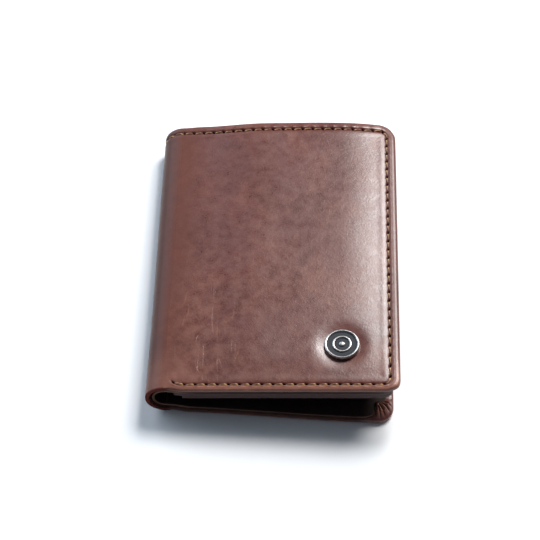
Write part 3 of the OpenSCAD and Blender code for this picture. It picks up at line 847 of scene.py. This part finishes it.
def shell_piece(side, length, place, path, holes, step, corner_n, q_of):
    is_front = side == "front"
    nx = int(round((length - 10) / step / 8)) * 8
    ny = int(round((2 * HALF - 18) / step / 8)) * 8
    box4 = (0.0, length, -HALF, HALF)
    corners = (0, corner_n, corner_n, 0)
    V, F, E, K, W = panel(box4, (0, RADIUS, FAR_R, 0), shell_rings(), nx, ny, corners, COLLAPSE, coarse=8)
    s, y, d = V[:, 0].copy(), V[:, 1].copy(), V[:, 2].copy()
    left = np.zeros(len(V), bool)
    ring = W >= 0
    kinds = np.array([p[0] for p in perimeter(nx, ny, corners)])
    left[ring] = kinds[W[ring]] == "l"
    e = np.where(left, np.minimum(y + HALF, HALF - y), E)
    top = np.clip(1 - d / TURN, 0, 1)
    # the near end beside the spine is one raw-cut thickness, not turned
    raw = (1 - smooth((s - 0.8) / 1.5)) * (y < -HALF + 6.6) * (E < 6.52) * (K > 0)
    d = d * (1 - raw * (1 - SHELL / TURN))
    dy = y + HALF
    y = np.where((raw > 0) & (dy < 1.9), -HALF + dy * (1 - 0.75 * raw), y)
    # how much deeper than its plain sheet the leather lies
    want = (d < 0.05) & (e < 8)
    groove = seam_depth(seam_offset(s, y, path, want)) * want * smooth((e - 0.9) / 0.6)
    pit, dark = pits(s, y, holes[0], holes[1], want)
    wave = 0.05 * np.sin(0.19 * s + 1.3 * np.sin(0.07 * y)) * np.sin(0.13 * y + 0.8) * smooth(s / 12)
    add = groove + pit + wave * top ** 2
    edge = rubbed_edge_and_highlight(s, y, d, e, left)
    # painted shade on the lower half of the rolled near edge, which faces down
    below = 0.85 * smooth((d - TURN * 0.36) / (TURN * 0.3)) * (E < 2.0) * (y < -HALF + 9)
    matt = 0.85 * (1 - smooth(s / 12))
    if is_front:
        add = add + top ** 2 * badge_dimple(s, y)
        # painted shade under the front's rolled near edge
        dark = dark + below
        # the strip outside the free edge's seam is duller than the panel
        margin = 0.7 * smooth((e - 1.2) / 0.4) * (1 - smooth((e - 2.8) / 0.5)) * (d < 0.1) * (s > length - 4)
        matt = np.maximum(matt, margin)
    else:
        height, lump, ridge = pleats(s, y, d, E, K, length)
        add = add + height
        add = np.where(d < 0.3, np.maximum(add, 0), add)
        # painted shade in the hollows between the pleats
        dark = dark + 0.9 * lump * np.clip(1 - ridge * 2.0, 0, 1)
        # painted shade under the back's rolled near edge, fading towards the free corner
        dark = dark + 0.65 * below * (1 - smooth((s - length + 13) / 5))
        # painted highlight on the pleat ridges
        edge = edge + 0.75 * lump * ridge ** 1.2
    masks = {
        "dark": np.clip(dark, 0, 1),
        "edge": edge,
        "wear": handled(s, y) * (d < 0.3),
        "cut": raw * ((d > 0.12) & (dy < 1.0)),
        "matt": matt,
    }
    flat = np.c_[q_of(s), V[:, 1], V[:, 2]]
    make(f"{side}_outer_leather_shell", place(s, y, d + add), F, f"{side}_cover", flat, OUTER, masks,
         (f"{side}_outer_leather", f"{side}_turned_edge"))


def seam_path(length, start, near, rn, rf):
    """A cover's seam: the near row from start, the free edge, and the far row as far as the spine."""
    def corner(cx, cy, r, a0):
        turns = [math.radians(a0 + 7.5 * k) for k in range(13)]
        return [(cx + r * math.cos(a), cy + r * math.sin(a)) for a in turns]
    xr, yb, yt = length - SEAM, -HALF + near, HALF - SEAM
    return [(start, yb)] + corner(xr - rn, yb + rn, rn, -90) + corner(xr - rf, yt - rf, rf, 0) + [(0.0, yt)]


cup_lo, cup_hi = box("badge_cup")
cup_c = (cup_lo + cup_hi) / 2
BADGE_S = (cup_c[0] - EX) * UX + (cup_c[2] - EZ) * UZ
BADGE_Y = cup_c[1]
BADGE_R = (cup_hi[1] - cup_lo[1]) / 2

front_path = seam_path(FRONT_L, 3.2, NEAR_SEAM, 3.0, 2.6)
front_holes = holes_along(front_path, FRONT_PITCH)
back_path = seam_path(BACK_L, 2.0, SEAM, 3.0, 2.8)
back_holes = holes_along(back_path, PITCH)
shell_piece("front", FRONT_L, front_map, front_path, front_holes, 0.42, 18, lambda s: s)
shell_piece("back", BACK_L, back_map, back_path, back_holes, 0.6, 44, lambda s: -Q_SPINE - s)


def fold_angles(k):
    """Where round the spine fold k's strip starts and ends, from the back cover on."""
    return 1.5 * math.pi - ALPHA * (k - 1), 1.5 * math.pi - ALPHA * k


def blend_fold(o):
    """Bakes a piece's placement into its mesh; the piece stays on no body."""
    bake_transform(o)


def cut_end(y, way, d0, t, reach, power):
    """(y, depth, 1) round a cut edge between depths d0 and d0 + t; way is 1 at the far end, -1 at the near."""
    out = []
    for a in [math.pi * k / 6 for k in range(7)]:
        c = math.cos(a)
        depth = d0 + t / 2 * (1 - way * math.copysign(abs(c) ** power, c))
        out.append((y - way * reach * (1 - math.sin(a) ** power), depth, 1))
    return out


def leather_section():
    """The outer leather's section along the spine, (y, depth, cut): raw cut near, turned in far."""
    pts = [(v, 0.0, 0) for v in np.arange(-HALF + 0.6, HALF - 9, 0.6)]
    pts += [(HALF - e, 0.0, 0) for e in INSETS]
    pts += [(HALF - e, d, 0) for e, d in roll_profile()]
    hem = ((3, TURN), (4, TURN), (6, TURN), (6.5, TURN - 0.15), (6.6, SHELL))
    pts += [(HALF - e, d, 0) for e, d in hem]
    pts += [(v, SHELL, 0) for v in np.linspace(HALF - 9, -HALF + 0.9, 40)]
    return np.array(pts + cut_end(-HALF, -1, 0, SHELL, 0.45, 0.4))


def liner_section():
    y0, y1 = -HALF + 0.6, TOP_Y
    pts = [(v, LINER_D, 0) for v in np.linspace(y0 + 0.4, y1 - 0.4, 40)]
    pts += cut_end(y1, 1, LINER_D, LINER_T, 0.2, 0.6)
    pts += [(v, LINER_D + LINER_T, 0) for v in np.linspace(y1 - 0.4, y0 + 0.4, 40)]
    return np.array(pts + cut_end(y0, -1, LINER_D, LINER_T, 0.2, 0.6))


def spine_piece(k, kind):
    a0, a1 = fold_angles(k)
    thin = math.radians(0.35)
    rows = [a0, a0 - thin] + list(np.linspace(a0, a1, 9)[1:-1]) + [a1 + thin, a1]
    section = leather_section() if kind == "leather" else liner_section()
    y, d, m = section[:, 0], section[:, 1], len(section)
    if kind == "leather":
        d = d + seam_depth(HALF - SEAM - y) * (d < 0.02) * (y > 0) * smooth((HALF - y - 0.9) / 0.6)
    V = np.vstack([spine_map(np.full(m, a), y, d) for a in rows])
    flat = np.vstack([np.c_[np.full(m, -(a - SPINE_END) * R), section[:, :2]] for a in rows])
    cut = np.tile(section[:, 2], len(rows))
    turn = np.repeat(np.maximum(0, -np.cos(rows)) ** 1.2, m)
    near = smooth((-flat[:, 1] - 40) / 14)
    # painted shade on the spine's far-left side, which turns away from the light; less at the near end
    masks = {"dark": 0.5 * turn * (1 - 0.6 * near), "wear": 0.2 + 0.8 * near, "matt": np.full(len(V), 0.85)}
    if kind == "leather":
        masks.update(edge=0.5 * near, cut=cut)
    else:
        masks.update(edge=0.9 * cut)
    mat, slot_name = (OUTER, "outer_leather") if kind == "leather" else (INNER, "inner_leather")
    stands = (f"spine_{kind}_{k}",) if k < FOLDS else ()
    o = make(f"spine_{kind}_fold_{k}", V, tube_faces(len(rows), m), None, flat, mat, masks, stands,
             sharp=50)
    blend_fold(o)


for k in range(1, FOLDS + 1):
    spine_piece(k, "leather")
    spine_piece(k, "liner")

# ---------------------------------------------------------------- covers' inner layers
HEM_IN = 6.8        # from a cover's edge to the board and the lining
BLOCK_IN = 2.4      # from the front cover's free edge to its pockets
END_IN = 0.6        # from the near end to the inner leather and the front pockets
WELT = 4.6


def put_plate(name, box4, radii, d0, d1, place, mat, body, stands, edge=0.2, reshape=None):
    V, F, side = plate(box4, radii, d0, d1, edge)
    s, y, d = V[:, 0], V[:, 1], V[:, 2]
    if mat is INNER:
        # the pale cut edge fades away from the spine
        side = side * (1 - (0.95 if place is front_map else 0.6) * smooth((s - 4) / 8))
    if reshape:
        s, y, d = reshape(s, y, d)
    return make(name, place(s, y, d), F, body, V, mat, {"edge": side}, stands)


for side, place, length in (("back", back_map, BACK_L), ("front", front_map, FRONT_L)):
    body = side + "_cover"
    inside = (MOUTH_1, length - HEM_IN, -HALF + HEM_IN, HALF - HEM_IN)
    put_plate(f"{side}_stiffener_board", inside, (0, 0, 0, 0), SHELL, STIFF, place, BOARD,
              body, (f"{side}_stiffener",), edge=0.05)
    o = put_plate(f"{side}_lining_cloth", inside, (0, 0, 0, 0), STIFF, LINE, place, CLOTH,
                  body, (f"{side}_lining",), edge=0.08)

LINERS = (("front", front_map, FRONT_L - BLOCK_IN, 4.5), ("back", back_map, BACK_L - 2.5, 9))
for side, place, s1, corner in LINERS:
    box4 = (0, s1, -HALF + END_IN, TOP_Y)
    put_plate(f"{side}_pocket_lining_leather", box4, (0, corner, 0, 0), LINER_D, POCKET_D, place, INNER,
              f"{side}_cover", (f"{side}_pocket_liner",))

# each cover's pockets: the map, the free edge, the near end and the corner's radius
BLOCK = {
    "front": (front_map, FRONT_L - BLOCK_IN, -HALF + END_IN, 4.5),
    "back": (back_map, BACK_L - 7.0, -HALF + 7.0, 3.0),
}


def u_shape(s0, s1, y0, y1, r, w, step=3.0):
    """The outline of a welt of width w, open towards the spine, with extra points along its straight runs."""
    pts = [(s0, y0)]
    turns = [math.radians(a) for a in range(-90, 1, 9)]
    pts += [(s1 - r + r * math.cos(a), y0 + r + r * math.sin(a)) for a in turns]
    pts += [(s1, y1), (s0, y1), (s0, y1 - w), (s1 - w, y1 - w), (s1 - w, y0 + w), (s0, y0 + w)]
    out = []
    for i in range(len(pts)):
        p, q = np.array(pts[i], float), np.array(pts[(i + 1) % len(pts)], float)
        n = max(1, int(np.linalg.norm(q - p) / step))
        out += [tuple(p + (q - p) * k / n) for k in range(n)]
    return out


for side, (place, s1, y0, r) in BLOCK.items():
    body = side + "_cover"

    def mouth(s0):
        # the pocket's mouth waves slightly, and the upper front one runs out towards the spine at the near end
        def go(s, y, d):
            k = np.exp(-((s - s0) / 5.0) ** 2) * smooth((y - y0) / 12) * smooth((TOP_Y - y) / 12)
            run = (MOUTH_2 - MOUTH_END) if side == "front" and s0 > MOUTH_1 + 1 else 0.0
            pull = run * (1 - smooth((y - y0 - 2.0) / 6.5)) * np.clip(1 - (s - s0) / 14, 0, 1)
            return s + 0.12 * k * np.sin(0.09 * y + s0) - pull, y, d
        return go

    for word, n, s0, d0, t in (("front", 1, MOUTH_1, S1_D, S1_T), ("top", 2, MOUTH_2, S2_D, S2_T)):
        put_plate(f"{side}_card_pocket_{word}_sheet", (s0, s1, y0, TOP_Y), (0, r, 0, 0), d0, d0 + t, place,
                  POCKET, body, (f"{side}_card_pocket_{n}",), reshape=mouth(s0))
    parts = []
    for s0, d0, d1 in ((MOUTH_1, POCKET_D, S1_D), (MOUTH_2, S1_D + S1_T, S2_D)):
        V, F, sd = slab(u_shape(s0, s1, y0, TOP_Y, r, WELT), [], d0, d1)
        V[:, 0], _, _ = mouth(s0)(V[:, 0].copy(), V[:, 1], V[:, 2])
        parts.append((place(V[:, 0], V[:, 1], V[:, 2]), F, V, {"edge": sd * 0.7}))
    co, F, flat, masks = joined(parts)
    make(f"{side}_pocket_edge_welts", co, F, body, flat, POCKET, masks, (f"{side}_pocket_welts",))

# ---------------------------------------------------------------- seams


def seam_object(name, parts, body, stands=()):
    co, F, flat, at = joined(parts)
    return make(name, co, F, body, flat, THREAD, at, stands, sharp=60)


def row(place, a, b, depth, radius=0.30, seed=1.0):
    """A straight row of stitches that stands up from depth."""
    pts, tan = holes_along([a, b], PITCH)
    return stitches(pts, tan, lambda s, y, h: place(s, y, depth + h), 1, radius, 0.16, 0.20, seed)


GROOVE = 0.24       # how deep the outer seam's threads lie
OUTER_THREAD = dict(radius=0.22, slant=0.14, lift=0.18)


def in_groove(place, extra=0.0):
    return lambda s, y, h: place(s, y, GROOVE + extra + h)


front_parts = stitches(*front_holes, in_groove(front_map), -1, gap=0.50, **OUTER_THREAD)
# the first stitch is sewn twice over, as a back-tack
tack = front_holes[0][:2] + np.array([0.0, 0.30])
front_parts += stitches(tack, front_holes[1][:2], in_groove(front_map, -0.08), -1, radius=0.24, slant=-0.1,
                        lift=0.26, seed=5.0)
seam_object("front_cover_edge_seam", front_parts, "front_cover", ("front_edge_stitching",))
back_parts = stitches(*back_holes, in_groove(back_map, 0.17), -1, radius=0.28, slant=0.2, lift=0.12)
hem = HALF - SEAM
side_s = BACK_L - SEAM
back_parts += row(back_map, (side_s, -HALF + 9.6), (side_s, TOP_Y), POCKET_D, seed=2.0)
back_parts += row(back_map, (MOUTH_1 + 1, hem), (side_s, hem), TURN, seed=3.0)
back_parts += row(back_map, (side_s, TOP_Y + 1), (side_s, hem - 1), TURN, seed=4.0)
seam_object("back_cover_edge_seam", back_parts, "back_cover", ("back_edge_stitching",))

for k in range(1, FOLDS + 1):
    start = fold_angles(k)[0]
    pts = np.array([(0.0, hem), (R * ALPHA, hem)])
    tan = np.array([(1.0, 0.0), (1.0, 0.0)])
    parts = stitches(pts, tan, lambda s, y, h: spine_map(start - s / R, y, GROOVE + h), -1, seed=k * 1.1,
                     turn=-1.0, **OUTER_THREAD)
    blend_fold(seam_object(f"spine_seam_stitch_{k}", parts, None))

for side, (place, s1, y0, r) in BLOCK.items():
    in_s, in_y, turn = 1.0, 1.0, MOUTH_2
    if side == "front":
        in_s, in_y, turn = SEAM - BLOCK_IN, NEAR_SEAM - END_IN, MOUTH_END
    sx, yn, yf = s1 - in_s, y0 + in_y, TOP_Y - 2.0
    low, high = S1_D + S1_T, S2_D + S2_T
    parts = row(place, (MOUTH_1 + 1, yf), (MOUTH_2 - 1, yf), low, 0.28, seed=2.0)
    if side == "back":
        parts += row(place, (MOUTH_1 + 1, yn), (MOUTH_2 - 1, yn), low, 0.28)
    parts += row(place, (turn + 1, yn), (sx, yn), high, 0.28, seed=3.0)
    parts += row(place, (MOUTH_2 + 1, yf), (sx, yf), high, 0.28, seed=4.0)
    parts += row(place, (sx, yn + 1), (sx, yf - 1), high, 0.28, seed=5.0)
    seam_object(f"{side}_pocket_seam", parts, side + "_cover", (f"{side}_pocket_stitching",))

# ---------------------------------------------------------------- badge


def lathe(prof, segments=112, hole=False):
    """A piece turned round the badge's axis from (radius, height) points; hole closes it as a ring."""
    n = len(prof)
    V, F, flat = [], [], []
    for j in range(segments):
        a = 2 * math.pi * j / segments
        k = (j + 1) % segments
        for r, h in prof:
            V.append((BADGE_S + r * math.cos(a), BADGE_Y + r * math.sin(a), -h))
            flat.append((r * math.cos(a), r * math.sin(a), h))
        for i in range(n if hole else n - 1):
            m = (i + 1) % n
            F.append((j * n + i, k * n + i, k * n + m, j * n + m))
    if not hole:
        F += [tuple(j * n for j in range(segments)), tuple(j * n + n - 1 for j in range(segments))[::-1]]
    s, y, d = np.array(V).T
    return np.c_[EX + s * UX + d * NX, y, EZ + s * UZ + d * NZ], F, np.array(flat), {}


BR = BADGE_R
CUP = [(0.4, 0.0), (BR - 0.35, 0.0), (BR - 0.08, 0.10), (BR, 0.32), (BR, 1.30), (BR - 0.05, 1.52),
       (BR - 0.17, 1.69), (BR - 0.34, 1.78), (BR - 0.52, 1.80), (BR - 0.70, 1.74), (BR - 0.83, 1.62),
       (BR - 0.90, 1.46), (BR - 0.92, 1.20), (BR - 0.93, 0.95), (BR - 1.05, 0.82), (0.4, 0.80)]
FACE = [(0.4, 0.78), (BR - 1.06, 0.78), (BR - 0.96, 0.86), (BR - 0.955, 1.36), (BR - 1.02, 1.33),
        (BR - 1.3, 1.31), (BR - 2.2, 1.33), (0.4, 1.345)]
RING = [(2.62, 1.25), (3.28, 1.25), (3.30, 1.55), (3.22, 1.68), (3.08, 1.74), (2.82, 1.74), (2.68, 1.68),
        (2.60, 1.55)]
DOT = [(0.05, 1.25), (0.98, 1.25), (1.0, 1.5), (0.9, 1.66), (0.7, 1.75), (0.4, 1.80), (0.05, 1.81)]
for name, parts, mat, node, slot_name, sharp in (
    ("badge_rim_and_cup", [lathe(CUP)], STEEL, "badge_cup", "badge_metal", 50),
    ("badge_enamel_face", [lathe(FACE)], ENAMEL, "badge_enamel", "badge_enamel", 40),
    ("badge_ring_and_dot", [lathe(RING, hole=True), lathe(DOT, 48)], STEEL, "badge_emblem", "badge_metal", 45),
):
    co, F, flat, _ = joined(parts)
    make(name, co, F, "front_cover", flat, mat, {}, (node,), sharp=sharp)

# ---------------------------------------------------------------- centre leaf
lf_lo, lf_hi = box("leaf_backing")
fr_lo, fr_hi = box("leaf_window_frame")
we_lo, we_hi = box("leaf_welts")
LX0, LX1, LY0, LY1 = lf_lo[0], lf_hi[0], lf_lo[1], lf_hi[1]
put_plate("leaf_backing_leather", (LX0, LX1, LY0, LY1), (0, 4, 4, 0), lf_lo[2], lf_hi[2], leaf_map, POCKET,
          "centre_leaf", ("leaf_backing",), edge=0.15)
frame_out = rounded_loop(LX0, LX1, LY0, LY1, (0.1, 4, 4, 0.1))
frame_in = rounded_loop(LX0 + 9, LX1 - 9, LY0 + 9, LY1 - 9, 3, ccw=False)
V, F, sd = slab(frame_out, [frame_in], fr_lo[2], fr_hi[2], 0.13)
make("leaf_window_frame_leather", V, F, "centre_leaf", V, POCKET, {"edge": sd}, ("leaf_window_frame",))
wx0, wy1 = we_lo[0], we_hi[1]
r = 4.0
turns = [math.radians(a) for a in range(-90, 1, 9)]
w_out = [(wx0, LY0)] + [(LX1 - r + r * math.cos(a), LY0 + r + r * math.sin(a)) for a in turns]
w_out += [(LX1, wy1), (LX1 - WELT, wy1), (LX1 - WELT, LY0 + WELT), (wx0, LY0 + WELT)]
V, F, sd = slab(w_out, [], we_lo[2], we_hi[2], 0.13)
make("leaf_edge_welts", V, F, "centre_leaf", V, POCKET, {"edge": sd * 0.7}, ("leaf_welts",))
top_z = fr_hi[2]
parts = row(leaf_map, (LX0 + 2, LY0 + 2), (LX1 - 2, LY0 + 2), top_z, 0.26)
parts += row(leaf_map, (LX1 - 2, LY0 + 3), (LX1 - 2, LY1 - 2), top_z, 0.26, seed=2.0)
parts += row(leaf_map, (LX0 + 2, LY0 + 3), (LX0 + 2, LY1 - 2), top_z, 0.26, seed=3.0)
seam_object("leaf_seam", parts, "centre_leaf", ("leaf_stitching",))
at_lo, at_hi = box("leaf_anchor_tab")
put_plate("leaf_anchor_tab_leather", (at_lo[0], at_hi[0], at_lo[1], at_hi[1]), (0, 0, 0, 0), at_lo[2], at_hi[2],
          leaf_map, POCKET, "back_cover", ("leaf_anchor_tab",), edge=0.15)
# the soft strip that the leaf turns on: it comes out of the tab, curls over and runs between the leaf's sheets
hs_lo, hs_hi = box("leaf_hinge_strip")
HXJ, HZJ = joints["leaf_turn"]["pos_m"][0] * MM, joints["leaf_turn"]["pos_m"][2] * MM
tz = (at_lo[2] + at_hi[2]) / 2
line = [(at_lo[0] + 1.2, tz), (at_lo[0] + 0.4, tz)]
cxs, czs, rr = at_lo[0] + 0.1, (tz + HZJ) / 2, (HZJ - tz) / 2
line += [(cxs - rr * 0.75 * math.sin(a), czs - rr * math.cos(a)) for a in np.linspace(0.15, math.pi - 0.15, 11)]
line += [(x, HZJ) for x in (at_lo[0] + 0.4, at_lo[0] + 1.2, LX0, LX0 + 1.5, hs_hi[0] - 0.6, hs_hi[0])]
line = np.array(line)
tn = np.gradient(line, axis=0)
tn /= np.linalg.norm(tn, axis=1)[:, None]
nr = np.c_[-tn[:, 1], tn[:, 0]]
half_t = 0.2
section = np.vstack([line + nr * half_t, (line - nr * half_t)[::-1]])
ys = np.linspace(hs_lo[1] + 0.3, hs_hi[1] - 0.3, 30)
V = np.array([(p[0], y, p[1]) for y in ys for p in section])
o = make("leaf_hinge_strip_leather", V, tube_faces(len(ys), len(section)), None, V, INNER, {},
         ("leaf_hinge_strip",))
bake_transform(o)

# ---------------------------------------------------------------- CAD nodes that stay, with their own finish
for name, mat in (("badge_post", STEEL), ("badge_washer", STEEL), ("leaf_window_film", FILM)):
    o = frame["nodes"][name]
    o.data.materials.clear()
    o.data.materials.append(mat)

# ---------------------------------------------------------------- floor, light and camera


def floor_material():
    g = Graph("white_table")
    n = g.noise(g.node("TexCoord").outputs["Object"], 30.0, 2.0)
    g.finish(Base_Color=g.mix(g.span(n, 0.3, 0.7), (0.90, 0.915, 0.935), (0.92, 0.93, 0.945)),
             Roughness=g.span(n, 0.3, 0.7, 0.8, 0.9))
    g.bsdf.inputs["Specular IOR Level"].default_value = 0.1
    return g.mat


me = bpy.data.meshes.new("table_top")
bm = bmesh.new()
bmesh.ops.create_grid(bm, x_segments=8, y_segments=8, size=2.5)
bm.to_mesh(me)
bm.free()
me.materials.append(floor_material())
table_top = bpy.data.objects.new("table_top", me)
table_top.location.z = -0.00015
bpy.context.scene.collection.objects.link(table_top)

world = bpy.data.worlds.new("studio")
world.use_nodes = True
world.node_tree.nodes["Background"].inputs["Color"].default_value = (0.74, 0.84, 1.0, 1)
world.node_tree.nodes["Background"].inputs["Strength"].default_value = 0.12
bpy.context.scene.world = world


def area_light(name, direction, distance, size, power, color):
    d = Vector(direction).normalized()
    lamp = bpy.data.lights.new(name, "AREA")
    lamp.shape = "RECTANGLE"
    lamp.size, lamp.size_y = size
    lamp.energy = power
    lamp.color = color
    o = bpy.data.objects.new(name, lamp)
    o.location = d * distance
    o.rotation_euler = d.to_track_quat("Z", "Y").to_euler()
    bpy.context.scene.collection.objects.link(o)
    return o


area_light("key_softbox", (0.46, 0.60, 0.75), 0.95, (0.56, 0.42), 10.3, (1.0, 0.985, 0.96))
area_light("strip_softbox", (0.20, 0.55, 0.82), 0.95, (0.17, 0.30), 3.9, (1.0, 0.99, 0.98))
area_light("left_window", (-0.82, 0.62, 0.48), 1.4, (1.7, 1.0), 19.0, (0.76, 0.88, 1.0))

# the camera looks at TARGET from the photograph's angle
TARGET, AWAY = Vector((-0.0022, -0.00347, 0.008)), 0.587
az, el, roll = math.radians(1.15), math.radians(52.95), math.radians(0.73)
ahead = Vector((-math.sin(az) * math.cos(el), math.cos(az) * math.cos(el), -math.sin(el)))
level = Vector((math.cos(az), math.sin(az), 0))
upright = level.cross(ahead)
right = math.cos(roll) * level + math.sin(roll) * upright
up = -math.sin(roll) * level + math.cos(roll) * upright
cam_data = bpy.data.cameras.new("photo_camera")
cam_data.lens = 109.0
cam_data.sensor_width = 36.0
cam_data.clip_start, cam_data.clip_end = 0.02, 20.0
cam = bpy.data.objects.new("photo_camera", cam_data)
facing = Matrix((right, up, -ahead)).transposed()
cam.matrix_world = Matrix.Translation(TARGET - ahead * AWAY) @ facing.to_4x4()
bpy.context.scene.collection.objects.link(cam)
bpy.context.scene.camera = cam
bpy.context.scene.view_settings.view_transform = "Standard"
